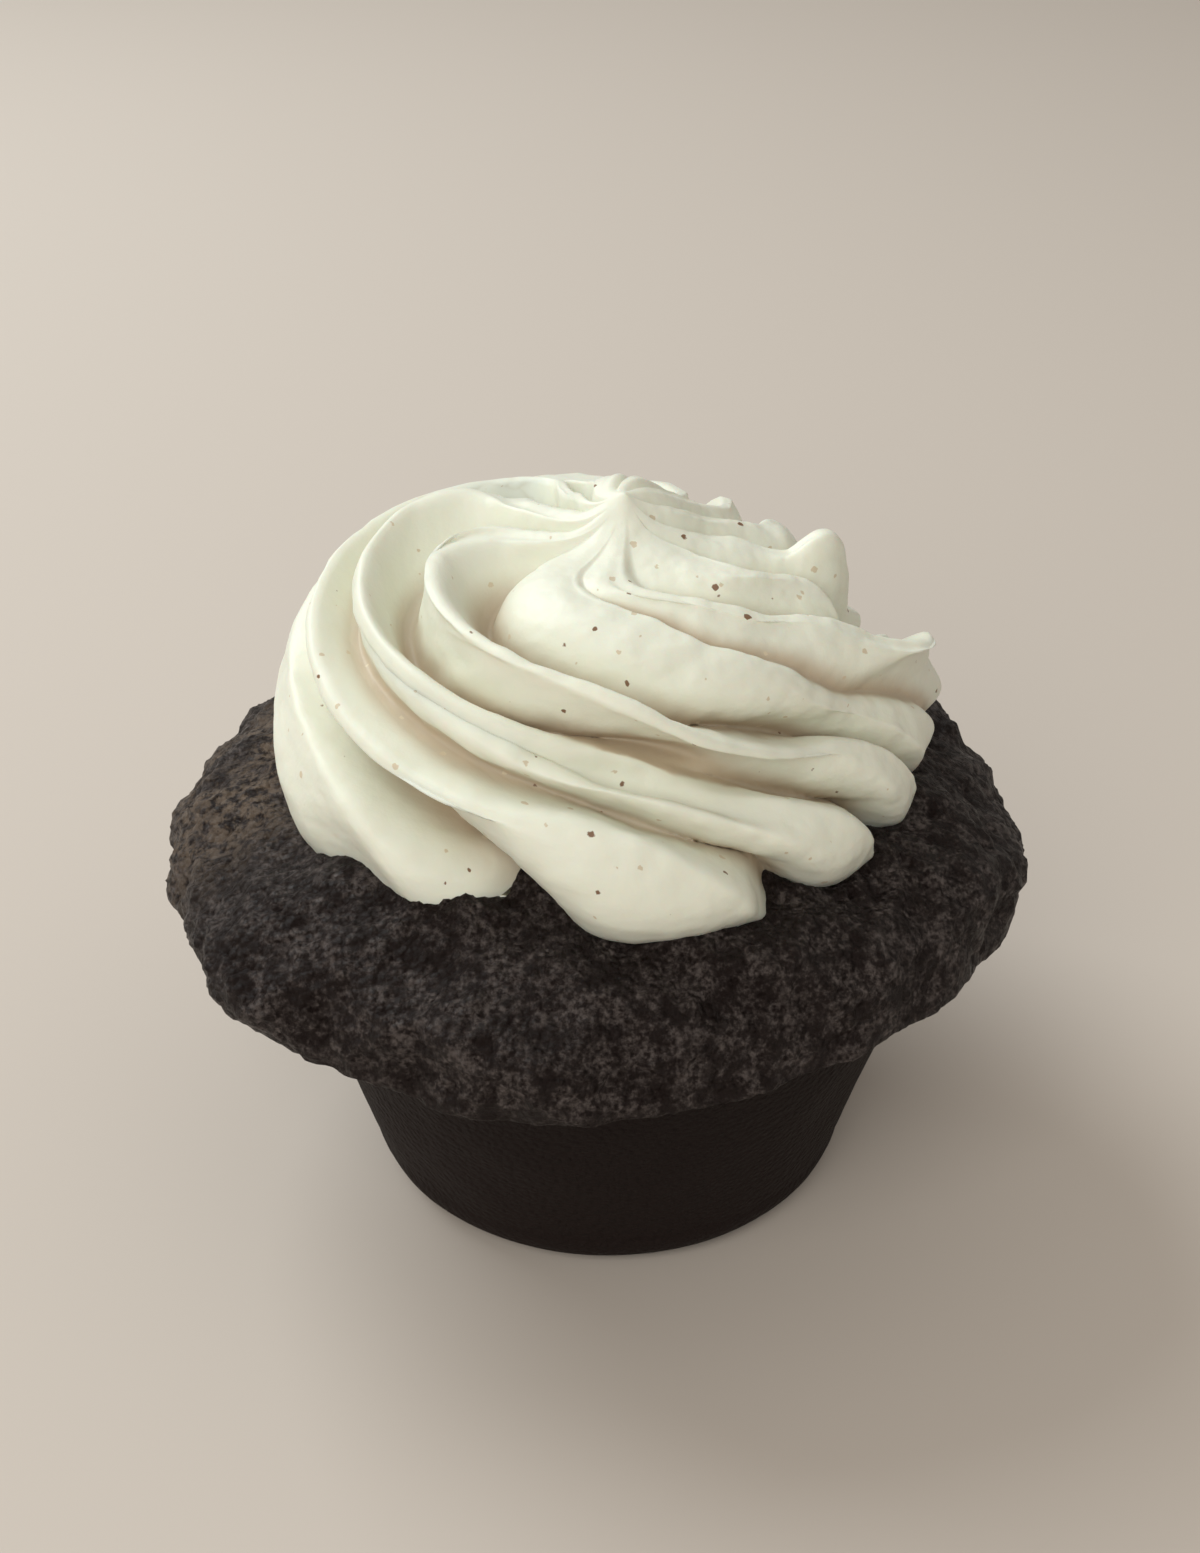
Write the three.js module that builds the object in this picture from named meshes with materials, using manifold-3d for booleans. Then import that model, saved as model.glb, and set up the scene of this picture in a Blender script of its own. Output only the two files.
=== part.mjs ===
// A cupcake: a dark sponge baked in a plain muffin tin, so that its top has run over the tin's
// mouth and set as a craggy mushroom cap, with one ridged swirl of piped frosting on top.
// Millimetres, +Z up. The origin is in the plane of the flat base, below the middle of the cap.
import * as THREE from 'three';
import { mergeVertices } from 'three/addons/utils/BufferGeometryUtils.js';
import Module from 'manifold-3d';

// ---- driving sizes of the sponge ----
const BASE_RADIUS = 25.2;
const HEEL_RADIUS = 4.5;
const MOUTH_RADIUS = 33;
const MOUTH_HEIGHT = 31.5;
const LIP_RADIUS = 40.8;
const CAP_RADIUS = 43;
const CAP_HEIGHT = 36;
const CROWN_HEIGHT = 48.5;
const BASE_X = 1.3;
const BASE_Y = -2.2;
const CRUST_RELIEF = 1.1;
const WALL_RELIEF = 0.25;
const CAKE_SEGMENTS = 84;
// How far the cap's rim runs out past its radius, and how far it hangs, every 30 degrees.
const RIM_REACH = [0.3, -1, -0.5, -0.8, -1.5, -0.6, -1.3, 0.9, -1.4, -1.2, -2.2, -1.5];
const RIM_DROP = [1.8, -0.8, -0.1, 0, 0.3, 0.2, 1.3, -0.7, 0.8, 0.3, -1.1, -1.1];

// ---- driving sizes of the frosting ----
// Stations run from the swirl's middle, 0, down to the crust, 1. At each, the bottoms of the
// grooves lie on a ring with its own radius, height and middle.
const STATIONS = [0, 0.15, 0.3, 0.45, 0.6, 0.75, 0.9, 1.06];
const GROOVE_RADIUS = [0, 5.5, 11, 16.9, 22, 24.6, 28.2, 28];
const GROOVE_HEIGHT = [69.2, 67, 64.7, 62.6, 60.4, 55.4, 49.4, 43];
const AXIS_X = [2.8, 1.2, 0.6, -0.2, -1, -1.2, 0.8, 0.2];
const AXIS_Y = [-0.4, -2.6, -2.6, -2, -1, -0.6, -0.2, 0];
const PEAK_X = 3;
const PEAK_Y = 3;
const PEAK_SPREAD = 5.5;
const PEAK_RISE = 4.5;
const GROWTH_START = 0.03;
const GROWTH_END = 0.35;
const LIP_END = 0.25;
const LIP_BEHIND = 0.13;
const LIP_BEFORE = 0.16;
const FOOT_START = 0.92;
const FOOT_END = 1.12;
const SKIRT_START = 0.68;
const SKIRT_END = 0.95;
const SKIRT_GROOVE = 0.64;
const RINGS = 46;
const RIDGE_SHARES = [0, 0.06, 0.13, 0.21, 0.32, 0.45, 0.58, 0.7, 0.82, 0.92];
const FROSTING_GAP = 0.3;
const SHORTEST_EDGE = 0.15;
const GRID = 0.05;

// The ridges that the nozzle's teeth leave, one after another round the swirl: the azimuth of
// each at every station, how far it stands out of the groove and how far its lip hangs over the
// groove below. The groove behind it lies at a share of the way to the next ridge. Its depth is
// a share of the rise, and the face from there to the next ridge bulges.
const RIDGES = [
  {
    name: 'left skirt',
    turn: [130, 90, 80, 85, 100, 135, 200, 215],
    rise: 3.9, lip: 0.8, groove: 0.76, depth: 2.2, bulge: 4,
  },
  {
    name: 'front lobe',
    turn: [160, 115, 105, 112, 200, 256, 276, 288],
    rise: 4.1, lip: 3, groove: 0.15, depth: 1.4, bulge: 2.5,
  },
  {
    name: 'front fin',
    turn: [190, 140, 130, 136, 247, 284, 307, 318],
    rise: 3.8, lip: 1.4, groove: 0.3, depth: 1.9, bulge: 3.2,
  },
  {
    name: 'main fold',
    turn: [225, 172, 178, 252, 287, 320, 332, 340],
    rise: 3.9, lip: 2.2, groove: 0.2, depth: 1.6, bulge: 2,
  },
  {
    name: 'soft fold',
    turn: [258, 240, 284, 302, 318, 333, 345, 356],
    rise: 3, lip: 0.8, groove: 0.25, depth: 0.4, bulge: 2,
  },
  {
    name: 'beak',
    turn: [290, 275, 307, 326, 341, 353, 368, 380],
    rise: 3.4, lip: 1.2, groove: 0.33, depth: 1.1, bulge: 2,
  },
  {
    name: 'short fold',
    turn: [330, 350, 341, 353, 352, 361, 378, 394],
    rise: 3.5, lip: 1.3, groove: 0.3, depth: 0.9, bulge: 2.5,
  },
  {
    name: 'crown fold',
    turn: [362, 372, 375, 368, 369, 378, 394, 412],
    rise: 3, lip: 0.8, groove: 0.25, depth: 1.1, bulge: 2,
  },
  {
    name: 'back fold',
    turn: [395, 392, 391, 390, 398, 412, 432, 452],
    rise: 3.2, lip: 1.2, groove: 0.3, depth: 1, bulge: 2,
  },
  {
    name: 'rear fold',
    turn: [425, 410, 407, 406, 416, 434, 458, 482],
    rise: 3.4, lip: 1.2, groove: 0.3, depth: 1, bulge: 2,
  },
  {
    name: 'rear skirt',
    turn: [455, 428, 420, 422, 436, 462, 500, 525],
    rise: 3.6, lip: 1.2, groove: 0.3, depth: 1, bulge: 2.5,
  },
];

// Places where one ridge stands out more, or less, than the rest of it.
const SWELLS = [
  { ridge: 'beak', station: 0.735, spread: 0.1, rise: 6.3 },
  { ridge: 'beak', station: 0.95, spread: 0.08, rise: 2.6 },
  { ridge: 'short fold', station: 0.69, spread: 0.11, rise: -3.2 },
  { ridge: 'crown fold', station: 0.54, spread: 0.07, rise: 3.4 },
  { ridge: 'main fold', station: 0.36, spread: 0.12, rise: 0.8 },
  { ridge: 'main fold', station: 0.9, spread: 0.1, rise: -0.8 },
  { ridge: 'front lobe', station: 0.6, spread: 0.09, rise: -0.4 },
  { ridge: 'front lobe', station: 0.95, spread: 0.1, rise: 1 },
  { ridge: 'left skirt', station: 0.96, spread: 0.14, rise: 0.5 },
  { ridge: 'front fin', station: 0.46, spread: 0.1, rise: -1 },
  { ridge: 'front fin', station: 0.7, spread: 0.12, rise: -4.4 },
];

// Bulges and hollows, each at a share of the way from its ridge to the next.
const BULGES = [
  { ridge: 'left skirt', share: 0.22, width: 0.14, station: 1, spread: 0.09, rise: -1.6 },
  { ridge: 'left skirt', share: 0.53, width: 0.08, station: 1, spread: 0.08, rise: 1.9 },
  { ridge: 'front lobe', share: 0.65, width: 0.3, station: 0.73, spread: 0.12, rise: 2.4 },
  { ridge: 'front lobe', share: 0.2, width: 0.2, station: 0.49, spread: 0.08, rise: 1.6 },
  { ridge: 'front lobe', share: 0.87, width: 0.07, station: 0.54, spread: 0.08, rise: -2 },
  { ridge: 'front fin', share: 0.18, width: 0.16, station: 0.46, spread: 0.1, rise: 4.2 },
  { ridge: 'front fin', share: 0.52, width: 0.22, station: 0.51, spread: 0.1, rise: -3.2 },
  { ridge: 'front fin', share: 0.58, width: 0.22, station: 0.66, spread: 0.1, rise: -3.6 },
];

const wasm = await Module();
wasm.setup();

const { clamp, degToRad: radians, euclideanModulo, lerp, smoothstep } = THREE.MathUtils;

// A value between the stations, on a smooth curve through the values at them.
function along(values, station) {
  const last = STATIONS.length - 1;
  let i = 0;
  while (i < last - 1 && station > STATIONS[i + 1]) i++;
  const slope = (k) => {
    const before = Math.max(k - 1, 0);
    const after = Math.min(k + 1, last);
    return (values[after] - values[before]) / (STATIONS[after] - STATIONS[before]);
  };
  const span = STATIONS[i + 1] - STATIONS[i];
  const t = (station - STATIONS[i]) / span;
  return values[i] * (2 * t ** 3 - 3 * t ** 2 + 1) + slope(i) * span * (t ** 3 - 2 * t ** 2 + t)
    + values[i + 1] * (3 * t ** 2 - 2 * t ** 3) + slope(i + 1) * span * (t ** 3 - t ** 2);
}

// A closed solid through rings of points, with an end face on the first and the last ring.
function skin(rings, endFace) {
  const size = rings[0].length;
  const points = rings.flat().flatMap((point) => [point.x, point.y, point.z]);
  const faces = [];
  for (let i = 0; i < rings.length - 1; i++) {
    for (let j = 0; j < size; j++) {
      const a = i * size + j;
      const b = i * size + (j + 1) % size;
      faces.push(a, b, b + size, a, b + size, a + size);
    }
  }
  const offset = (rings.length - 1) * size;
  for (const [a, b, c] of endFace) {
    faces.push(a, c, b);
    faces.push(offset + a, offset + b, offset + c);
  }
  const mesh = new wasm.Mesh({
    numProp: 3,
    vertProperties: new Float32Array(points),
    triVerts: new Uint32Array(faces),
  });
  return new wasm.Manifold(mesh);
}

// The largest closed shell of a solid, with its hidden hollows filled.
function outerShell(solid) {
  const shells = solid.decompose();
  shells.sort((a, b) => b.volume() - a.volume());
  return shells[0].asOriginal();
}

// The same solid with its corners moved to a fine grid, where the thinnest slivers close up.
function snapped(solid) {
  const { vertProperties, triVerts } = solid.getMesh();
  const geometry = new THREE.BufferGeometry();
  const corners = vertProperties.map((value) => Math.round(value / GRID) * GRID);
  geometry.setAttribute('position', new THREE.BufferAttribute(corners, 3));
  geometry.setIndex(new THREE.BufferAttribute(triVerts, 1));
  const merged = mergeVertices(geometry, GRID / 10);
  const index = merged.index.array;
  const faces = [];
  for (let i = 0; i < index.length; i += 3) {
    const face = index.slice(i, i + 3);
    if (new Set(face).size === 3) faces.push(...face);
  }
  const mesh = new wasm.Mesh({
    numProp: 3,
    vertProperties: merged.attributes.position.array,
    triVerts: new Uint32Array(faces),
  });
  return new wasm.Manifold(mesh).asOriginal();
}

function tidied(solid) {
  const smooth = outerShell(solid).simplify(SHORTEST_EDGE);
  return outerShell(snapped(smooth).simplify(SHORTEST_EDGE));
}

function meshOf(solid, name, material) {
  const { vertProperties, triVerts, numProp } = solid.getMesh();
  const geometry = new THREE.BufferGeometry();
  geometry.setAttribute('position', new THREE.BufferAttribute(vertProperties, numProp));
  geometry.setIndex(new THREE.BufferAttribute(triVerts, 1));
  geometry.computeVertexNormals();
  const mesh = new THREE.Mesh(geometry, material);
  mesh.name = name;
  return mesh;
}

// ---- sponge ----

// Height and depth of the crust's lumps at a point: waves in directions spread over a sphere.
function lumps(point, wavelength, waves) {
  const goldenAngle = Math.PI * (3 - Math.sqrt(5));
  const direction = new THREE.Vector3();
  let sum = 0;
  for (let i = 0; i < waves; i++) {
    const z = 1 - (2 * i + 1) / waves;
    const r = Math.sqrt(1 - z * z);
    direction.set(r * Math.cos(goldenAngle * i), r * Math.sin(goldenAngle * i), z);
    sum += Math.sin(2 * Math.PI * direction.dot(point) / wavelength + i * i);
  }
  return sum / Math.sqrt(waves / 2);
}

function arc(cx, cy, rx, ry, from, to, steps) {
  const points = [];
  for (let i = 0; i <= steps; i++) {
    const angle = radians(from + (to - from) * i / steps);
    points.push(new THREE.Vector2(cx + rx * Math.cos(angle), cy + ry * Math.sin(angle)));
  }
  return points;
}

// Half section of the sponge from the base's edge, up the tin's wall, out under the cap,
// round its rim and over the crown.
function spongeProfile() {
  const wallSteps = 6;
  const wall = [];
  for (let i = 1; i <= wallSteps; i++) {
    const t = i / wallSteps;
    wall.push(new THREE.Vector2(
      lerp(BASE_RADIUS, MOUTH_RADIUS, t),
      lerp(HEEL_RADIUS, MOUTH_HEIGHT, t),
    ));
  }
  const rimDrop = CAP_HEIGHT - MOUTH_HEIGHT;
  return [
    new THREE.Vector2(BASE_RADIUS - 2 * HEEL_RADIUS, 0),
    ...arc(BASE_RADIUS - HEEL_RADIUS, HEEL_RADIUS, HEEL_RADIUS, HEEL_RADIUS, -90, 0, 3),
    ...wall,
    new THREE.Vector2((MOUTH_RADIUS + LIP_RADIUS) / 2, MOUTH_HEIGHT - 0.6),
    ...arc(LIP_RADIUS, CAP_HEIGHT, CAP_RADIUS - LIP_RADIUS, rimDrop, -90, 0, 3),
    ...arc(0, CAP_HEIGHT, CAP_RADIUS, CROWN_HEIGHT - CAP_HEIGHT, 0, 86, 16).slice(1),
  ];
}

// A value round the rim, on a smooth closed curve through the values every 30 degrees.
function rimValue(values, azimuth) {
  const place = azimuth / 30;
  const i = Math.floor(place);
  const t = place - i;
  const [before, start, stop, after] = [-1, 0, 1, 2].map((k) => values[(i + k + 12) % 12]);
  return start * (2 * t ** 3 - 3 * t ** 2 + 1) + (stop - before) / 2 * (t ** 3 - 2 * t ** 2 + t)
    + stop * (3 * t ** 2 - 2 * t ** 3) + (after - start) / 2 * (t ** 3 - t ** 2);
}

function spongePoint(profilePoint, azimuth) {
  const angle = radians(azimuth);
  const outward = profilePoint.x / CAP_RADIUS;
  const capped = smoothstep(profilePoint.y, MOUTH_HEIGHT - 4, CAP_HEIGHT);
  const radius = profilePoint.x + rimValue(RIM_REACH, azimuth) * capped * outward;
  const hanging = smoothstep(outward, 0.6, 1)
    * smoothstep(profilePoint.y, MOUTH_HEIGHT - 4, MOUTH_HEIGHT);
  const point = new THREE.Vector3(
    radius * Math.cos(angle) + BASE_X * (1 - capped),
    radius * Math.sin(angle) + BASE_Y * (1 - capped),
    profilePoint.y - rimValue(RIM_DROP, azimuth) * hanging,
  );
  const raised = smoothstep(profilePoint.y, 0, HEEL_RADIUS);
  const relief = lerp(WALL_RELIEF, CRUST_RELIEF, capped) * raised;
  const height = relief * (lumps(point, 24, 9) + 0.6 * lumps(point, 9, 11)) / 1.6;
  const outTilt = Math.min(outward, 1);
  point.x += height * outTilt * Math.cos(angle);
  point.y += height * outTilt * Math.sin(angle);
  point.z += height * Math.sqrt(1 - outTilt * outTilt) * capped;
  return point;
}

function spongeRings(lift) {
  return spongeProfile().map((profilePoint) => {
    const ring = [];
    for (let j = 0; j < CAKE_SEGMENTS; j++) {
      const point = spongePoint(profilePoint, 360 * j / CAKE_SEGMENTS);
      point.z += lift;
      ring.push(point);
    }
    return ring;
  });
}

function flatEnd(size) {
  const faces = [];
  for (let j = 1; j < size - 1; j++) faces.push([0, j, j + 1]);
  return faces;
}

function sponge(lift) {
  return skin(spongeRings(lift), flatEnd(CAKE_SEGMENTS));
}

// ---- frosting ----

// How full the swirl is, from 0 in a groove to 1 on a ridge, at a share of the way round from
// one ridge to the next.
function fullness(ridge, share, station) {
  const skirt = smoothstep(station, SKIRT_START, SKIRT_END);
  const groove = lerp(ridge.groove, SKIRT_GROOVE, skirt);
  const hold = Math.max(groove - 0.3, groove / 4);
  const behind = (1 + Math.cos(Math.PI * clamp((share - hold) / (groove - hold), 0, 1))) / 2;
  const face = 1 - (1 - clamp((share - groove) / (1 - groove), 0, 1)) ** ridge.bulge;
  return 1 - ridge.depth * (1 - (share < groove ? behind : face));
}

function ridgeRise(ridge, station) {
  let rise = ridge.rise * smoothstep(station, GROWTH_START, GROWTH_END);
  for (const swell of SWELLS.filter((entry) => entry.ridge === ridge.name)) {
    rise += swell.rise * Math.exp(-(((station - swell.station) / swell.spread) ** 2));
  }
  return rise;
}

// What the bulges and hollows near a place between two ridges add there.
function bulgeRise(number, share, station) {
  const count = RIDGES.length;
  let rise = 0;
  for (const bulge of BULGES) {
    const place = RIDGES.findIndex((ridge) => ridge.name === bulge.ridge) + bulge.share;
    const turned = euclideanModulo(number + share - place + count / 2, count) - count / 2;
    const across = turned / bulge.width;
    const down = (station - bulge.station) / bulge.spread;
    rise += bulge.rise * Math.exp(-(across ** 2) - down ** 2);
  }
  return rise;
}

function ridgeLip(ridge, station) {
  const shrink = clamp((1 - station) / LIP_END, 0, 1);
  return ridge.lip * smoothstep(station, GROWTH_START, GROWTH_END) * shrink;
}

function swirlPoint(number, share, station) {
  const below = RIDGES[number];
  const above = RIDGES[(number + 1) % RIDGES.length];
  const lap = number + 1 < RIDGES.length ? 0 : 360;
  const turn = radians(lerp(along(below.turn, station), along(above.turn, station) + lap, share));
  const handover = smoothstep(share, 0, 1);
  const ridge = lerp(ridgeRise(below, station), ridgeRise(above, station), handover);
  const sunk = clamp((station - FOOT_START) / (FOOT_END - FOOT_START), 0, 1);
  const rise = (fullness(below, share, station) * ridge + bulgeRise(number, share, station))
    * Math.sqrt(1 - sunk ** 2);
  const lip = ridgeLip(below, station) * Math.exp(-((share / LIP_BEHIND) ** 2))
    + ridgeLip(above, station) * Math.exp(-(((1 - share) / LIP_BEFORE) ** 2));
  const step = 0.001;
  const runsOut = along(GROOVE_RADIUS, station + step) - along(GROOVE_RADIUS, station - step);
  const runsDown = along(GROOVE_HEIGHT, station + step) - along(GROOVE_HEIGHT, station - step);
  const run = Math.hypot(runsOut, runsDown);
  const radius = along(GROOVE_RADIUS, station) + (lip * runsOut - rise * runsDown) / run;
  const x = along(AXIS_X, station) + radius * Math.cos(turn);
  const y = along(AXIS_Y, station) + radius * Math.sin(turn);
  const z = along(GROOVE_HEIGHT, station) + (lip * runsDown + rise * runsOut) / run;
  const away = Math.hypot(x - PEAK_X, y - PEAK_Y) / PEAK_SPREAD;
  return new THREE.Vector3(x, y, z + PEAK_RISE * Math.exp(-(away ** 2)));
}

function frosting() {
  const rings = [];
  for (let i = RINGS; i > 0; i--) {
    const station = STATIONS.at(-1) * i / RINGS;
    const ring = [];
    for (let number = 0; number < RIDGES.length; number++) {
      for (const share of RIDGE_SHARES) ring.push(swirlPoint(number, share, station));
    }
    rings.push(ring);
  }
  const swirl = skin(rings, flatEnd(rings[0].length));
  return tidied(swirl.subtract(sponge(FROSTING_GAP)));
}

// ---- the cupcake ----

const crust = new THREE.MeshStandardMaterial({ color: 0x241816, roughness: 0.95, metalness: 0 });
const cream = new THREE.MeshStandardMaterial({ color: 0xe9e6cf, roughness: 0.45, metalness: 0 });

const cupcake = new THREE.Group();
cupcake.add(meshOf(sponge(0), 'cake', crust));
cupcake.add(meshOf(frosting(), 'frosting', cream));

export default cupcake;
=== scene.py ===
import math

import bpy
import numpy as np
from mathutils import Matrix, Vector, noise
from mathutils.bvhtree import BVHTree


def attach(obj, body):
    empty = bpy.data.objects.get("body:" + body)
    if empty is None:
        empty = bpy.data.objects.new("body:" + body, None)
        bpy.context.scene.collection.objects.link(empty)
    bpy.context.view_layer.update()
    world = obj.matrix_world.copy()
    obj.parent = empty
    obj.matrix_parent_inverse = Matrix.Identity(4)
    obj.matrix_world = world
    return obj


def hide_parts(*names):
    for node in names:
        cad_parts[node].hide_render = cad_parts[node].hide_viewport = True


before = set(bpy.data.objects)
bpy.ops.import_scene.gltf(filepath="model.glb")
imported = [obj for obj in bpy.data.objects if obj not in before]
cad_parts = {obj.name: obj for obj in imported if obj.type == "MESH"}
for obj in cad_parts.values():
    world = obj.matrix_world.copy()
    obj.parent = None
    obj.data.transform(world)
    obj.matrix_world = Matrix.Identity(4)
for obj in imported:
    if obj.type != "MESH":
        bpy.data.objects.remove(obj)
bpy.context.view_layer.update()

# ---- Camera, floor and light ----
# The cupcake stands on a plain pale floor and is seen from a little above, as by someone about
# to pick it up. A large window lights it from the left and behind, and the room fills the shade.

CAMERA_PLACE = (0.0005, -0.188, 0.156)
CAMERA_PITCH = math.radians(31.4)
IMAGE_HEIGHT = 1553
FOCAL_PIXELS = 2200
SENSOR = 36
FLOOR_SIZE = 4.0
FLOOR_COLOR = (0.60, 0.53, 0.47, 1)
LIGHT_AIM = (0, 0, 0.05)

camera_data = bpy.data.cameras.new("camera")
camera_data.sensor_width = SENSOR
camera_data.lens = FOCAL_PIXELS / IMAGE_HEIGHT * SENSOR
camera_data.clip_start = 0.01
camera = bpy.data.objects.new("camera", camera_data)
camera.location = CAMERA_PLACE
camera.rotation_euler = (math.pi / 2 - CAMERA_PITCH, 0, 0)
bpy.context.collection.objects.link(camera)
bpy.context.scene.camera = camera


def new_material(name):
    material = bpy.data.materials.new(name)
    material.use_nodes = True
    return material, material.node_tree, material.node_tree.nodes["Principled BSDF"]


def floor():
    half = FLOOR_SIZE / 2
    corners = [(-half, -half, 0), (half, -half, 0), (half, half, 0), (-half, half, 0)]
    data = bpy.data.meshes.new("floor")
    data.from_pydata(corners, [], [(0, 1, 2, 3)])
    plane = bpy.data.objects.new("floor", data)
    bpy.context.collection.objects.link(plane)
    material, _, shader = new_material("floor paint")
    shader.inputs["Base Color"].default_value = FLOOR_COLOR
    shader.inputs["Roughness"].default_value = 0.8
    data.materials.append(material)


def area_light(name, place, size, power, color):
    data = bpy.data.lights.new(name, "AREA")
    data.shape = "DISK"
    data.size = size
    data.energy = power
    data.color = color
    light = bpy.data.objects.new(name, data)
    light.location = place
    light.rotation_euler = (Vector(LIGHT_AIM) - Vector(place)).to_track_quat("-Z", "Y").to_euler()
    bpy.context.collection.objects.link(light)


def room_light(color, strength):
    world = bpy.data.worlds.new("room")
    world.use_nodes = True
    background = world.node_tree.nodes["Background"]
    background.inputs["Color"].default_value = color
    background.inputs["Strength"].default_value = strength
    bpy.context.scene.world = world


floor()
area_light("window", place=(-0.45, 0.38, 0.60), size=0.55, power=4.4, color=(0.91, 0.98, 1.0))
area_light("room fill", place=(-0.20, -0.60, 0.50), size=0.60, power=2.9, color=(0.99, 0.985, 0.94))
room_light(color=(1.0, 0.95, 0.87, 1), strength=0.40)
bpy.context.scene.view_settings.view_transform = "Standard"

# ---- Sponge ----
# A dark chocolate sponge baked straight in a greased muffin tin. Its side is the smooth print
# of the tin, and its top has run over the tin's mouth and set as a craggy, crumbly cap.

BASE_RADIUS = 0.0252
HEEL_RADIUS = 0.0045
MOUTH_RADIUS = 0.033
MOUTH_HEIGHT = 0.0315
LIP_RADIUS = 0.0408
CAP_RADIUS = 0.043
CAP_HEIGHT = 0.036
CROWN_HEIGHT = 0.0485
BASE_PLACE = (0.0013, -0.0022)
SMALLEST_RING = 0.0003
UNDERSIDE_SAG = 0.0006
BELOW_MOUTH = 0.004
HANG_START = 0.6
# The crown's angles, in degrees: where the frosting begins to cover it, and where it closes.
COVERED_FROM = 54
CROWN_END = 89.6
WALL_STEP = 0.0007
UNDERSIDE_STEP = 0.0006
CRUST_STEP = 0.00046
COVERED_STEP = 0.0015
# How far the cap's rim runs out past its radius and how far it hangs, every 30 degrees, in mm.
RIM_REACH = [0.3, -1, -0.5, -0.8, -1.5, -0.6, -1.3, 0.9, -1.4, -1.2, -2.2, -1.5]
RIM_DROP = [1.8, -0.8, -0.1, 0, 0.3, 0.2, 1.3, -0.7, 0.8, 0.3, -1.1, -1.1]
CRUST_RELIEF = 0.0011
WALL_RELIEF = 0.00025
SMALL_LUMP_SHARE = 0.6
CRUST_SWELL = 0.0004
# The crumb's crags, lumps, crevices and pits. The widths are shares of the spacing. The wall,
# which the tin pressed smooth, has only faint crags and lumps.
CRAG_SIZE = 0.0052
CRAG_DEPTH = 0.001
LUMP_SIZE = 0.0021
LUMP_DEPTH = 0.00045
CRUMB_SIZE = 0.0023
CREVICE_WIDTH = 0.3
CREVICE_DEPTH = 0.00015
PIT_SPACING = 0.0034
PIT_WIDTH = 0.3
PIT_DEPTH = 0.0008
WALL_CRAG_DEPTH = 0.00006
WALL_LUMP_DEPTH = 0.00005
CRUMB_COLOR = (0.0130, 0.0073, 0.0062, 1)
# The lighter flecks over the cap are partly the crumb's own paler grain and partly painted highlight
# on the tops of the crumbs.
CRUMB_FLECK_AND_HIGHLIGHT_COLOR = (0.117, 0.095, 0.088, 1)
# Painted highlight: a lighter brown, grainy patch on the upper left of the cap, where the window
# light falls, fading out from its core to its spread.
HIGHLIGHT_PATCH_COLOR = (0.17, 0.125, 0.092, 1)
HIGHLIGHT_PATCH_PLACE = (-0.035, 0.001, 0.040)
HIGHLIGHT_PATCH_SPREAD = 0.022
HIGHLIGHT_PATCH_CORE = 0.006


def smoothstep(value, low, high):
    t = np.clip((value - low) / (high - low), 0, 1)
    return t * t * (3 - 2 * t)


def lumps(points, wavelength, waves):
    """Height of the crust's lumps at each point: waves in directions spread over a sphere."""
    golden_angle = math.pi * (3 - math.sqrt(5))
    total = np.zeros(points.shape[:-1])
    for i in range(waves):
        z = 1 - (2 * i + 1) / waves
        r = math.sqrt(1 - z * z)
        direction = np.array([r * math.cos(golden_angle * i), r * math.sin(golden_angle * i), z])
        total += np.sin(2 * math.pi * (points @ direction) / wavelength + i * i)
    return total / math.sqrt(waves / 2)


def arc(centre, radii, start, stop, steps):
    angle = np.radians(np.linspace(start, stop, steps + 1))
    return np.stack([centre[0] + radii[0] * np.cos(angle), centre[1] + radii[1] * np.sin(angle)], -1)


def sponge_profile():
    """Half section from the middle of the base, up the wall, round the rim and over the crown."""
    heel = arc((BASE_RADIUS - HEEL_RADIUS, HEEL_RADIUS), (HEEL_RADIUS, HEEL_RADIUS), -90, 0, steps=12)
    mouth = [[MOUTH_RADIUS, MOUTH_HEIGHT]]
    underside = [[(MOUTH_RADIUS + LIP_RADIUS) / 2, MOUTH_HEIGHT - UNDERSIDE_SAG]]
    rim_radii = (CAP_RADIUS - LIP_RADIUS, CAP_HEIGHT - MOUTH_HEIGHT)
    rim = arc((LIP_RADIUS, CAP_HEIGHT), rim_radii, -90, 0, steps=16)
    crown_radii = (CAP_RADIUS, CROWN_HEIGHT - CAP_HEIGHT)
    bare_crown = arc((0, CAP_HEIGHT), crown_radii, 0, COVERED_FROM, steps=60)[1:]
    covered_crown = arc((0, CAP_HEIGHT), crown_radii, COVERED_FROM, CROWN_END, steps=20)[1:]
    profile = [np.array([SMALLEST_RING, 0])]
    for corners, step in (
        (heel, WALL_STEP),
        (mouth, WALL_STEP),
        (underside, UNDERSIDE_STEP),
        (rim, CRUST_STEP),
        (bare_crown, CRUST_STEP),
        (covered_crown, COVERED_STEP),
    ):
        corners = np.concatenate([[profile[-1]], corners])
        lengths = np.r_[0, np.cumsum(np.hypot(*np.diff(corners, axis=0).T))]
        stations = np.linspace(0, lengths[-1], max(int(lengths[-1] / step), 1) + 1)[1:]
        profile.extend(np.stack([np.interp(stations, lengths, corners[:, i]) for i in (0, 1)], -1))
    return np.array(profile)


def mesh_object(name, points, faces, material):
    data = bpy.data.meshes.new(name)
    data.from_pydata(points.tolist(), [], faces)
    data.polygons.foreach_set("use_smooth", [True] * len(data.polygons))
    data.materials.append(material)
    piece = bpy.data.objects.new(name, data)
    bpy.context.collection.objects.link(piece)
    return piece


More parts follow.
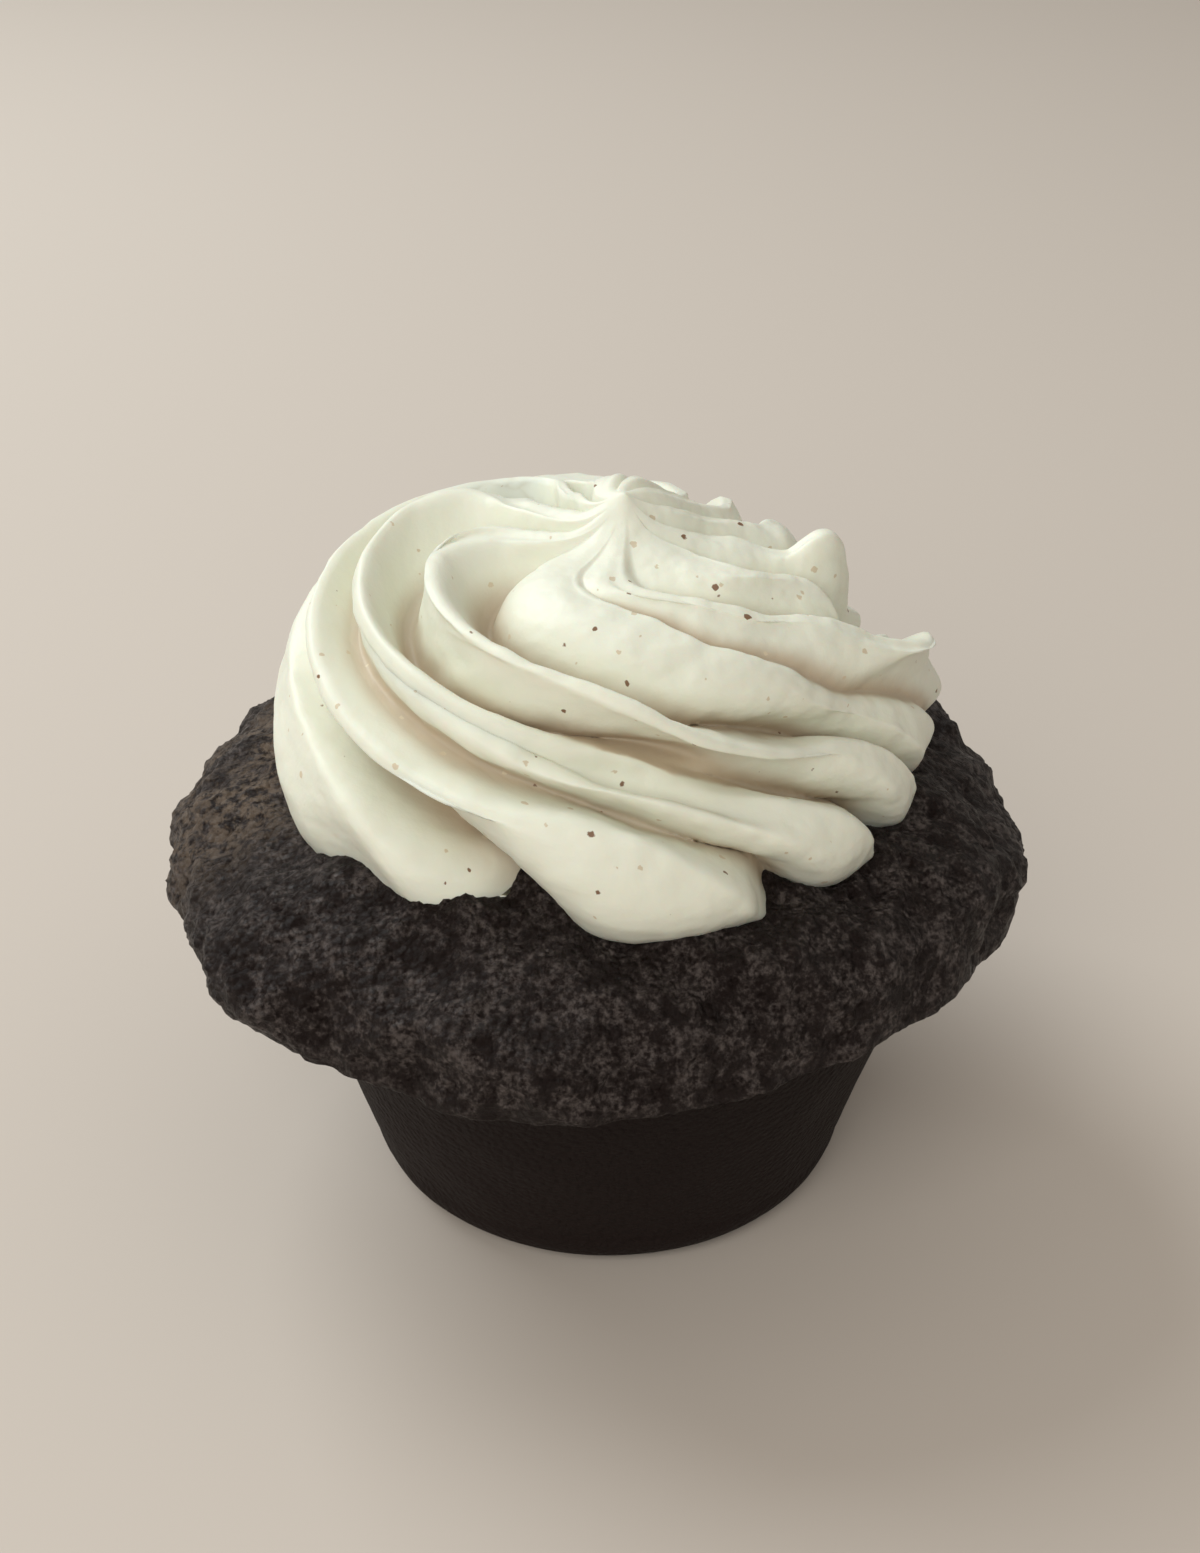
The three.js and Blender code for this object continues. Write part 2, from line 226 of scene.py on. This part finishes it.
def ring_faces(rings, size):
    """Quads between neighbouring rings of points, and one face that closes each end."""
    index = np.arange(rings * size).reshape(rings, size)
    a, d = index[:-1], index[1:]
    b, c = np.roll(a, -1, axis=1), np.roll(d, -1, axis=1)
    faces = np.stack([a, b, c, d], -1).reshape(-1, 4).tolist()
    return faces + [index[0][::-1].tolist(), index[-1].tolist()]


def crumb_depth(points, capped):
    """How far each point sinks below the crust: crevices between crumbs, crags and small pits."""
    depth = np.empty(len(points))
    for i, point in enumerate(points):
        place = Vector(point)
        crag = noise.turbulence(place / CRAG_SIZE, 4, True, amplitude_scale=0.6, frequency_scale=2.3)
        lump = 0.5 - 0.5 * noise.noise(place / LUMP_SIZE)
        near, next_near = noise.voronoi(place / CRUMB_SIZE)[0][:2]
        crevice = max(0.0, 1 - (next_near - near) / CREVICE_WIDTH) ** 2
        pit = max(0.0, 1 - noise.voronoi(place / PIT_SPACING)[0][0] / PIT_WIDTH) ** 2
        crust = CRAG_DEPTH * crag + LUMP_DEPTH * lump + CREVICE_DEPTH * crevice + PIT_DEPTH * pit
        wall = WALL_CRAG_DEPTH * crag + WALL_LUMP_DEPTH * lump
        depth[i] = wall + (crust - wall) * capped[i]
    return depth


def crumb_pattern():
    """Shader group: the fine crumb's height, its lighter flecks (partly paler grain, partly painted
    highlight), a painted highlight patch, and the cap.
    """
    group = bpy.data.node_groups.new("crumb pattern", "ShaderNodeTree")
    for socket in ("Height", "Flecks and highlights", "Highlight patch", "Cap"):
        group.interface.new_socket(socket, in_out="OUTPUT", socket_type="NodeSocketFloat")
    nodes, links = group.nodes, group.links
    place = nodes.new("ShaderNodeTexCoord")

    def ramp(source, low, high):
        scale = nodes.new("ShaderNodeMapRange")
        scale.interpolation_type = "SMOOTHSTEP"
        scale.inputs["From Min"].default_value = low
        scale.inputs["From Max"].default_value = high
        links.new(source, scale.inputs["Value"])
        return scale.outputs["Result"]

    def cloud(scale, detail, roughness):
        texture = nodes.new("ShaderNodeTexNoise")
        texture.inputs["Scale"].default_value = scale
        texture.inputs["Detail"].default_value = detail
        texture.inputs["Roughness"].default_value = roughness
        links.new(place.outputs["Object"], texture.inputs["Vector"])
        return texture.outputs["Fac"]

    def product(first, second):
        times = nodes.new("ShaderNodeMath")
        times.operation = "MULTIPLY"
        links.new(first, times.inputs[0])
        links.new(second, times.inputs[1])
        return times.outputs[0]

    granules = nodes.new("ShaderNodeTexVoronoi")
    granules.feature = "SMOOTH_F1"
    granules.inputs["Scale"].default_value = 1300
    granules.inputs["Smoothness"].default_value = 0.4
    links.new(place.outputs["Object"], granules.inputs["Vector"])
    crust = nodes.new("ShaderNodeMath")
    crust.operation = "SUBTRACT"
    links.new(cloud(scale=1900, detail=5, roughness=0.7), crust.inputs[0])
    links.new(ramp(granules.outputs["Distance"], low=0, high=0.9), crust.inputs[1])
    rise = nodes.new("ShaderNodeSeparateXYZ")
    links.new(place.outputs["Object"], rise.inputs["Vector"])
    cap = ramp(rise.outputs["Z"], low=0.0285, high=0.034)
    fading = ramp(rise.outputs["Z"], low=-0.02, high=0.036)
    # Lighter flecks on the cap: partly the crumb's paler grain, partly painted highlight on crumb
    # tops.
    crumbs = ramp(cloud(scale=1700, detail=4, roughness=0.65), low=0.36, high=0.66)
    clumps = ramp(cloud(scale=420, detail=5, roughness=0.75), low=0.41, high=0.61)
    # Painted highlight: a lighter brown, grainy patch round one place on the upper left of the cap,
    # where the window light falls.
    away = nodes.new("ShaderNodeVectorMath")
    away.operation = "DISTANCE"
    away.inputs[1].default_value = HIGHLIGHT_PATCH_PLACE
    links.new(place.outputs["Object"], away.inputs[0])
    spot = ramp(away.outputs["Value"], low=HIGHLIGHT_PATCH_SPREAD, high=HIGHLIGHT_PATCH_CORE)
    patches = ramp(cloud(scale=160, detail=5, roughness=0.7), low=0.36, high=0.55)
    flakes = ramp(cloud(scale=900, detail=4, roughness=0.7), low=0.4, high=0.56)
    output = nodes.new("NodeGroupOutput")
    links.new(product(crust.outputs[0], fading), output.inputs["Height"])
    links.new(product(product(crumbs, clumps), cap), output.inputs["Flecks and highlights"])
    links.new(product(product(spot, product(patches, flakes)), cap), output.inputs["Highlight patch"])
    links.new(cap, output.inputs["Cap"])
    return group


def blended(tree, mask, under, over):
    """A colour socket that turns from the colour under to the colour over where the mask is 1.

    The mix node's colours go in at its inputs 6 and 7, and come out at its output 2.
    """
    blend = tree.nodes.new("ShaderNodeMix")
    blend.data_type = "RGBA"
    factor, first, second = blend.inputs[0], blend.inputs[6], blend.inputs[7]
    tree.links.new(mask, factor)
    if isinstance(under, tuple):
        first.default_value = under
    else:
        tree.links.new(under, first)
    second.default_value = over
    return blend.outputs[2]


def sponge_material():
    material, tree, shader = new_material("sponge crust")
    nodes, links = tree.nodes, tree.links
    pattern = nodes.new("ShaderNodeGroup")
    pattern.node_tree = crumb_pattern()
    # The crumb gets its lighter flecks, partly painted highlight, and then the painted highlight
    # patch on the upper left.
    crumb = blended(tree, pattern.outputs["Flecks and highlights"], CRUMB_COLOR, CRUMB_FLECK_AND_HIGHLIGHT_COLOR)
    highlighted = blended(tree, pattern.outputs["Highlight patch"], crumb, HIGHLIGHT_PATCH_COLOR)
    links.new(highlighted, shader.inputs["Base Color"])
    bump = nodes.new("ShaderNodeBump")
    bump.inputs["Strength"].default_value = 1.0
    bump.inputs["Distance"].default_value = 0.0006
    links.new(pattern.outputs["Height"], bump.inputs["Height"])
    links.new(bump.outputs["Normal"], shader.inputs["Normal"])
    for socket, on_wall, on_cap in (("Roughness", 0.65, 0.42), ("Specular IOR Level", 0.13, 0.2)):
        level = nodes.new("ShaderNodeMapRange")
        level.inputs["To Min"].default_value = on_wall
        level.inputs["To Max"].default_value = on_cap
        links.new(pattern.outputs["Cap"], level.inputs["Value"])
        links.new(level.outputs["Result"], shader.inputs[socket])
    return material


def rim_value(values, angle):
    """A value round the rim, on a smooth closed curve through the values every 30 degrees."""
    values = np.asarray(values) / 1000
    count = len(values)
    place = angle / (2 * math.pi / count) % count
    i = np.floor(place).astype(int) % count
    t = place - np.floor(place)
    before, start, stop, after = (values[(i + k) % count] for k in (-1, 0, 1, 2))
    return (start * (2 * t**3 - 3 * t**2 + 1) + (stop - before) / 2 * (t**3 - 2 * t**2 + t)
            + stop * (3 * t**2 - 2 * t**3) + (after - start) / 2 * (t**3 - t**2))


def cap_share(height):
    """0 down on the smooth wall to 1 up on the cap."""
    return smoothstep(height, MOUTH_HEIGHT - BELOW_MOUTH, CAP_HEIGHT)


def crust_points(profile, angle):
    """The profile taken round the sponge, with the uneven rim and the crust's lumps."""
    radius, height = profile[:, :1], profile[:, 1:]
    capped = cap_share(height)
    outward = radius / CAP_RADIUS
    spread = radius + rim_value(RIM_REACH, angle) * capped * outward
    overhang = smoothstep(height, MOUTH_HEIGHT - BELOW_MOUTH, MOUTH_HEIGHT)
    sunk = rim_value(RIM_DROP, angle) * smoothstep(outward, HANG_START, 1) * overhang
    points = np.stack([
        spread * np.cos(angle) + BASE_PLACE[0] * (1 - capped),
        spread * np.sin(angle) + BASE_PLACE[1] * (1 - capped),
        height - sunk,
    ], -1)
    raised = smoothstep(height, 0, HEEL_RADIUS)
    relief = (WALL_RELIEF + (CRUST_RELIEF - WALL_RELIEF) * capped) * raised
    broad = lumps(points, wavelength=0.024, waves=9)
    small = lumps(points, wavelength=0.009, waves=11)
    swell = relief * (broad + SMALL_LUMP_SHARE * small) / (1 + SMALL_LUMP_SHARE)
    tilt = np.minimum(outward, 1)
    points[..., 0] += swell * tilt * np.cos(angle)
    points[..., 1] += swell * tilt * np.sin(angle)
    points[..., 2] += swell * np.sqrt(1 - tilt * tilt) * capped
    return points


def sponge():
    profile = sponge_profile()
    size = int(2 * math.pi * CAP_RADIUS / CRUST_STEP)
    angle = np.linspace(0, 2 * math.pi, size, endpoint=False)
    points = crust_points(profile, angle)
    height = (profile[:, 1:] + 0 * angle).ravel()
    capped = cap_share(height)
    along_ring = np.roll(points, -1, axis=1) - np.roll(points, 1, axis=1)
    along_profile = np.gradient(points, axis=0)
    normal = np.cross(along_ring, along_profile)
    normal /= np.linalg.norm(normal, axis=-1, keepdims=True)
    points = points.reshape(-1, 3)
    depth = crumb_depth(points, capped) - CRUST_SWELL * capped
    depth *= smoothstep(height, 0, HEEL_RADIUS)
    points = points - normal.reshape(-1, 3) * depth[:, None]
    piece = mesh_object("sponge", points, ring_faces(len(profile), size), sponge_material())
    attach(piece, "root")
    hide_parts("cake")
    return piece


sponge_piece = sponge()

# ---- Frosting ----
# Vanilla cream piped through an open star nozzle that circles inwards and upwards over the crust.
# Its teeth leave soft ridges with deep grooves between, which climb round the mound to the peak.

# Stations run from the swirl's middle, 0, down to the crust, 1. At each, the bottoms of the
# grooves lie on a ring with its own radius, height and middle.
STATIONS = np.array([0, 0.15, 0.3, 0.45, 0.6, 0.75, 0.9, 1.06])
GROOVE_RADIUS = np.array([0, 5.5, 11, 16.9, 22, 24.6, 28.2, 28]) / 1000
GROOVE_HEIGHT = np.array([69.2, 67, 64.7, 62.6, 60.4, 55.4, 49.4, 43]) / 1000
AXIS_X = np.array([2.8, 1.2, 0.6, -0.2, -1, -1.2, 0.8, 0.2]) / 1000
AXIS_Y = np.array([-0.4, -2.6, -2.6, -2, -1, -0.6, -0.2, 0]) / 1000
PEAK_PLACE = (0.003, 0.003)
PEAK_SPREAD = 0.0055
PEAK_RISE = 0.0044
# Between these stations the ridges grow out of the middle, the lowest coil spreads into a skirt
# with its own groove, and the foot draws in.
GROWTH = (0.03, 0.35)
SKIRT = (0.68, 0.95)
SKIRT_GROOVE = 0.64
FOOT = (0.92, 1.12)
# A ridge falls into its groove over a shoulder. Its lip reaches a little behind and before the
# crest, all as shares of the way to the next ridge, and shrinks away above the crust.
SHOULDER = 0.3
LIP_BEHIND = 0.13
LIP_BEFORE = 0.16
LIP_END = 0.25
# The ridges, one after another round the swirl: the azimuth of each at every station, how far it
# stands out of the groove and how far its lip hangs over the groove below, both in mm. The groove
# behind it lies at a share of the way to the next ridge. Its depth is a share of the rise, and
# the face from there to the next ridge bulges.
RIDGES = {
    "left skirt": dict(turn=[130, 90, 80, 85, 100, 135, 200, 215],
                       rise=3.9, lip=0.8, groove=0.76, depth=2.2, bulge=4),
    "front lobe": dict(turn=[160, 115, 105, 112, 200, 256, 276, 288],
                       rise=4.1, lip=3.0, groove=0.15, depth=1.4, bulge=2.5),
    "front fin": dict(turn=[190, 140, 130, 136, 247, 284, 307, 318],
                      rise=3.8, lip=1.4, groove=0.3, depth=1.9, bulge=3.2),
    "main fold": dict(turn=[225, 172, 178, 252, 287, 320, 332, 340],
                      rise=3.9, lip=2.2, groove=0.2, depth=1.6, bulge=2),
    "soft fold": dict(turn=[258, 240, 284, 302, 318, 333, 345, 356],
                      rise=3.0, lip=0.8, groove=0.25, depth=0.4, bulge=2),
    "beak": dict(turn=[290, 275, 307, 326, 341, 353, 368, 380],
                 rise=3.4, lip=1.2, groove=0.33, depth=1.1, bulge=2),
    "short fold": dict(turn=[330, 350, 341, 353, 352, 361, 378, 394],
                       rise=3.5, lip=1.3, groove=0.3, depth=0.9, bulge=2.5),
    "crown fold": dict(turn=[362, 372, 375, 368, 369, 378, 394, 412],
                       rise=3.0, lip=0.8, groove=0.25, depth=1.1, bulge=2),
    "back fold": dict(turn=[395, 392, 391, 390, 398, 412, 432, 452],
                      rise=3.2, lip=1.2, groove=0.3, depth=1, bulge=2),
    "rear fold": dict(turn=[425, 410, 407, 406, 416, 434, 458, 482],
                      rise=3.4, lip=1.2, groove=0.3, depth=1, bulge=2),
    "rear skirt": dict(turn=[455, 428, 420, 422, 436, 462, 500, 525],
                       rise=3.6, lip=1.2, groove=0.3, depth=1, bulge=2.5),
}
# Where one ridge stands out more, or less, than the rest of it: station, spread and rise in mm.
SWELLS = [
    ("beak", 0.735, 0.1, 6.3),
    ("beak", 0.95, 0.08, 2.6),
    ("short fold", 0.69, 0.11, -3.2),
    ("crown fold", 0.54, 0.07, 3.4),
    ("main fold", 0.36, 0.12, 0.8),
    ("main fold", 0.9, 0.1, -0.8),
    ("front lobe", 0.6, 0.09, -0.4),
    ("front lobe", 0.95, 0.1, 1.0),
    ("left skirt", 0.96, 0.14, 0.5),
    ("front fin", 0.46, 0.1, -1.0),
    ("front fin", 0.7, 0.12, -4.4),
]
# Bulges and hollows, each at a share of the way from its ridge to the next. The rise is in mm.
BULGES = [
    dict(ridge="left skirt", share=0.22, width=0.14, station=1.0, spread=0.09, rise=-1.6),
    dict(ridge="left skirt", share=0.53, width=0.08, station=1.0, spread=0.08, rise=1.9),
    dict(ridge="front lobe", share=0.65, width=0.3, station=0.73, spread=0.12, rise=2.4),
    dict(ridge="front lobe", share=0.2, width=0.2, station=0.49, spread=0.08, rise=1.6),
    dict(ridge="front lobe", share=0.87, width=0.07, station=0.54, spread=0.08, rise=-2.0),
    dict(ridge="front fin", share=0.18, width=0.16, station=0.46, spread=0.1, rise=4.2),
    dict(ridge="front fin", share=0.52, width=0.22, station=0.51, spread=0.1, rise=-3.2),
    dict(ridge="front fin", share=0.58, width=0.22, station=0.66, spread=0.1, rise=-3.6),
]
RINGS = 200
RIDGE_STEPS = 44
TOP_STATION = 0.004
SMALLEST_RADIUS = 0.00005
SHALLOWEST_GROOVE = 0.0005
DENT = 0.00025
DENT_SIZES = {0.0065: 1, 0.0024: 0.6, 0.001: 0.25}
DENTS_FADE = (0.0725, 0.070)
CRUST_TOP = CROWN_HEIGHT + 0.003
ABOVE_SWIRL = 0.1
SEAT_DEPTH = 0.0009
CREAM_COLOR = (0.815, 0.82, 0.70, 1)
# The cream turns darker and warmer deep in the grooves: painted shade.
GROOVE_SHADE_COLOR = (0.50, 0.385, 0.26, 1)
FAINT_SEED_COLOR = (0.66, 0.57, 0.42, 1)
SEED_COLOR = (0.22, 0.12, 0.065, 1)
SEED_WOBBLE = 0.0007


def along(values, station):
    """A value between the stations, on a smooth curve through the values at them."""
    values = np.asarray(values, float)
    first = np.maximum(np.arange(len(values)) - 1, 0)
    last = np.minimum(np.arange(len(values)) + 1, len(values) - 1)
    slopes = (values[last] - values[first]) / (STATIONS[last] - STATIONS[first])
    i = np.clip(np.searchsorted(STATIONS, station, side="left") - 1, 0, len(STATIONS) - 2)
    span = STATIONS[i + 1] - STATIONS[i]
    t = (station - STATIONS[i]) / span
    return (values[i] * (2 * t**3 - 3 * t**2 + 1) + slopes[i] * span * (t**3 - 2 * t**2 + t)
            + values[i + 1] * (3 * t**2 - 2 * t**3) + slopes[i + 1] * span * (t**3 - t**2))


def fullness(ridge, share, station):
    """1 on a ridge and least in a groove, at a share of the way round from one to the next."""
    groove = ridge["groove"] + (SKIRT_GROOVE - ridge["groove"]) * smoothstep(station, *SKIRT)
    hold = np.maximum(groove - SHOULDER, groove / 4)
    behind = (1 + np.cos(math.pi * np.clip((share - hold) / (groove - hold), 0, 1))) / 2
    face = 1 - (1 - np.clip((share - groove) / (1 - groove), 0, 1)) ** ridge["bulge"]
    return 1 - ridge["depth"] * (1 - np.where(share < groove, behind, face))


def ridge_rise(name, station):
    """How far a ridge stands out of the grooves at a station."""
    rise = RIDGES[name]["rise"] * smoothstep(station, *GROWTH)
    for swollen, place, spread, height in SWELLS:
        if swollen == name:
            rise = rise + height * np.exp(-((station - place) / spread) ** 2)
    return rise / 1000


def bulge_rise(number, share, station):
    """What the bulges and hollows near a place between two ridges add there."""
    names = list(RIDGES)
    total = 0
    for bulge in BULGES:
        away = number + share - names.index(bulge["ridge"]) - bulge["share"]
        away = (away + len(names) / 2) % len(names) - len(names) / 2
        along_ridge = (station - bulge["station"]) / bulge["spread"]
        total = total + bulge["rise"] * np.exp(-(away / bulge["width"]) ** 2 - along_ridge ** 2)
    return total / 1000


def ridge_lip(name, station):
    """How far a ridge's lip hangs over the groove below it."""
    shrink = np.clip((1 - station) / LIP_END, 0, 1)
    return RIDGES[name]["lip"] * smoothstep(station, *GROWTH) * shrink / 1000


def swirl():
    """Rings of points from the foot up to the middle, and how deep in a groove each point is."""
    station = np.linspace(STATIONS[-1], TOP_STATION, RINGS)[:, None]
    share = np.linspace(0, 1, RIDGE_STEPS, endpoint=False)[None, :]
    step = 0.001
    runs_out = along(GROOVE_RADIUS, station + step) - along(GROOVE_RADIUS, station - step)
    runs_down = along(GROOVE_HEIGHT, station + step) - along(GROOVE_HEIGHT, station - step)
    run = np.hypot(runs_out, runs_down)
    names = list(RIDGES)
    sectors, grooves = [], []
    for number, below in enumerate(names):
        above = names[(number + 1) % len(names)]
        lap = 360 if number + 1 == len(names) else 0
        start = along(RIDGES[below]["turn"], station)
        stop = along(RIDGES[above]["turn"], station) + lap
        turn = np.radians(start + (stop - start) * share)
        handover = smoothstep(share, 0, 1)
        ridge = ridge_rise(below, station) * (1 - handover) + ridge_rise(above, station) * handover
        rise = ridge * fullness(RIDGES[below], share, station) + bulge_rise(number, share, station)
        depth = (ridge - rise) / np.maximum(ridge * RIDGES[below]["depth"], SHALLOWEST_GROOVE)
        grooves.append(np.clip(depth, 0, 1) * smoothstep(station, *GROWTH))
        rise = rise * np.sqrt(1 - np.clip((station - FOOT[0]) / (FOOT[1] - FOOT[0]), 0, 1) ** 2)
        lip = (ridge_lip(below, station) * np.exp(-(share / LIP_BEHIND) ** 2)
               + ridge_lip(above, station) * np.exp(-((1 - share) / LIP_BEFORE) ** 2))
        radius = along(GROOVE_RADIUS, station) + (lip * runs_out - rise * runs_down) / run
        radius = np.maximum(radius, SMALLEST_RADIUS)
        x = along(AXIS_X, station) + radius * np.cos(turn)
        y = along(AXIS_Y, station) + radius * np.sin(turn)
        z = along(GROOVE_HEIGHT, station) + (lip * runs_down + rise * runs_out) / run
        away = np.hypot(x - PEAK_PLACE[0], y - PEAK_PLACE[1]) / PEAK_SPREAD
        sectors.append(np.stack([x, y, z + PEAK_RISE * np.exp(-away ** 2)], -1))
    return np.concatenate(sectors, axis=1), np.concatenate(grooves, axis=1)


def speck_pattern():
    """Shader group: the dark vanilla seeds, the faint ones just below the surface, and ripples."""
    group = bpy.data.node_groups.new("vanilla specks", "ShaderNodeTree")
    for socket in ("Seeds", "Faint", "Ripples"):
        group.interface.new_socket(socket, in_out="OUTPUT", socket_type="NodeSocketFloat")
    nodes, links = group.nodes, group.links
    place = nodes.new("ShaderNodeTexCoord")
    wobble = nodes.new("ShaderNodeTexNoise")
    wobble.inputs["Scale"].default_value = 1500
    links.new(place.outputs["Object"], wobble.inputs["Vector"])
    shift = nodes.new("ShaderNodeVectorMath")
    shift.operation = "MULTIPLY_ADD"
    shift.inputs[1].default_value = (SEED_WOBBLE,) * 3
    links.new(wobble.outputs["Color"], shift.inputs[0])
    links.new(place.outputs["Object"], shift.inputs[2])

    def flecks(spacing, radius, share):
        """1 inside the flecks: one in each cell of the given spacing, in a share of the cells."""
        cells = nodes.new("ShaderNodeTexVoronoi")
        cells.inputs["Scale"].default_value = 1 / spacing
        links.new(shift.outputs["Vector"], cells.inputs["Vector"])
        lot = nodes.new("ShaderNodeSeparateColor")
        links.new(cells.outputs["Color"], lot.inputs["Color"])
        size = nodes.new("ShaderNodeMapRange")
        size.inputs["From Max"].default_value = share
        size.inputs["To Min"].default_value = radius / spacing
        size.inputs["To Max"].default_value = 0
        links.new(lot.outputs["Red"], size.inputs["Value"])
        edge = nodes.new("ShaderNodeMapRange")
        edge.inputs["From Min"].default_value = 0
        edge.inputs["From Max"].default_value = 0.025
        inside = nodes.new("ShaderNodeMath")
        inside.operation = "SUBTRACT"
        links.new(size.outputs["Result"], inside.inputs[0])
        links.new(cells.outputs["Distance"], inside.inputs[1])
        links.new(inside.outputs[0], edge.inputs["Value"])
        return edge.outputs["Result"]

    ripples = nodes.new("ShaderNodeTexNoise")
    ripples.inputs["Scale"].default_value = 700
    ripples.inputs["Detail"].default_value = 4
    links.new(place.outputs["Object"], ripples.inputs["Vector"])
    output = nodes.new("NodeGroupOutput")
    links.new(flecks(spacing=0.0028, radius=0.00042, share=0.55), output.inputs["Seeds"])
    links.new(flecks(spacing=0.0019, radius=0.00036, share=0.6), output.inputs["Faint"])
    links.new(ripples.outputs["Fac"], output.inputs["Ripples"])
    return group


def cream_material():
    material, tree, shader = new_material("vanilla cream")
    nodes, links = tree.nodes, tree.links
    pattern = nodes.new("ShaderNodeGroup")
    pattern.node_tree = speck_pattern()
    # Painted shade: deep in the grooves the cream turns darker and warmer.
    groove = nodes.new("ShaderNodeAttribute")
    groove.attribute_name = "groove"
    groove_shade = nodes.new("ShaderNodeMapRange")
    groove_shade.interpolation_type = "SMOOTHSTEP"
    groove_shade.inputs["From Min"].default_value = 0.35
    groove_shade.inputs["To Max"].default_value = 0.85
    links.new(groove.outputs["Fac"], groove_shade.inputs["Value"])
    cream = blended(tree, groove_shade.outputs["Result"], CREAM_COLOR, GROOVE_SHADE_COLOR)
    faint = blended(tree, pattern.outputs["Faint"], cream, FAINT_SEED_COLOR)
    seeded = blended(tree, pattern.outputs["Seeds"], faint, SEED_COLOR)
    links.new(seeded, shader.inputs["Base Color"])
    bump = nodes.new("ShaderNodeBump")
    bump.inputs["Strength"].default_value = 0.3
    bump.inputs["Distance"].default_value = 0.0003
    links.new(pattern.outputs["Ripples"], bump.inputs["Height"])
    links.new(bump.outputs["Normal"], shader.inputs["Normal"])
    shader.inputs["Roughness"].default_value = 0.5
    shader.inputs["Subsurface Weight"].default_value = 0.25
    shader.inputs["Subsurface Radius"].default_value = (1.0, 0.6, 0.4)
    shader.inputs["Subsurface Scale"].default_value = 0.0015
    return material


def dented(rings):
    """The swirl with the small dents and swellings that hand piping leaves."""
    across = np.roll(rings, -1, axis=1) - np.roll(rings, 1, axis=1)
    normal = np.cross(across, np.gradient(rings, axis=0))
    normal /= np.linalg.norm(normal, axis=-1, keepdims=True) + 1e-12
    dent = np.array([
        sum(share * noise.noise(place / size) for size, share in DENT_SIZES.items())
        for place in (Vector(point) for point in rings.reshape(-1, 3))
    ]).reshape(rings.shape[:2])
    kept = DENT * smoothstep(rings[..., 2], *DENTS_FADE)
    return rings + normal * (dent * kept)[..., None]


def seated(points):
    """The points, with those deep in the sponge raised to just below its crust."""
    crust = BVHTree.FromPolygons(
        [v.co for v in sponge_piece.data.vertices], [p.vertices for p in sponge_piece.data.polygons]
    )
    for i in np.nonzero(points[:, 2] < CRUST_TOP)[0]:
        start = Vector((points[i, 0], points[i, 1], ABOVE_SWIRL))
        hit = crust.ray_cast(start, Vector((0, 0, -1)))[0]
        if hit:
            points[i, 2] = max(points[i, 2], hit.z - SEAT_DEPTH)
    return points


def frosting():
    rings, grooves = swirl()
    points = seated(dented(rings).reshape(-1, 3))
    piece = mesh_object("swirl", points, ring_faces(*grooves.shape), cream_material())
    # How deep in a groove each point lies, kept on the points, darkens the cream there as painted
    # shade.
    depth = piece.data.attributes.new("groove", "FLOAT", "POINT")
    depth.data.foreach_set("value", grooves.ravel())
    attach(piece, "root")
    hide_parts("frosting")


frosting()
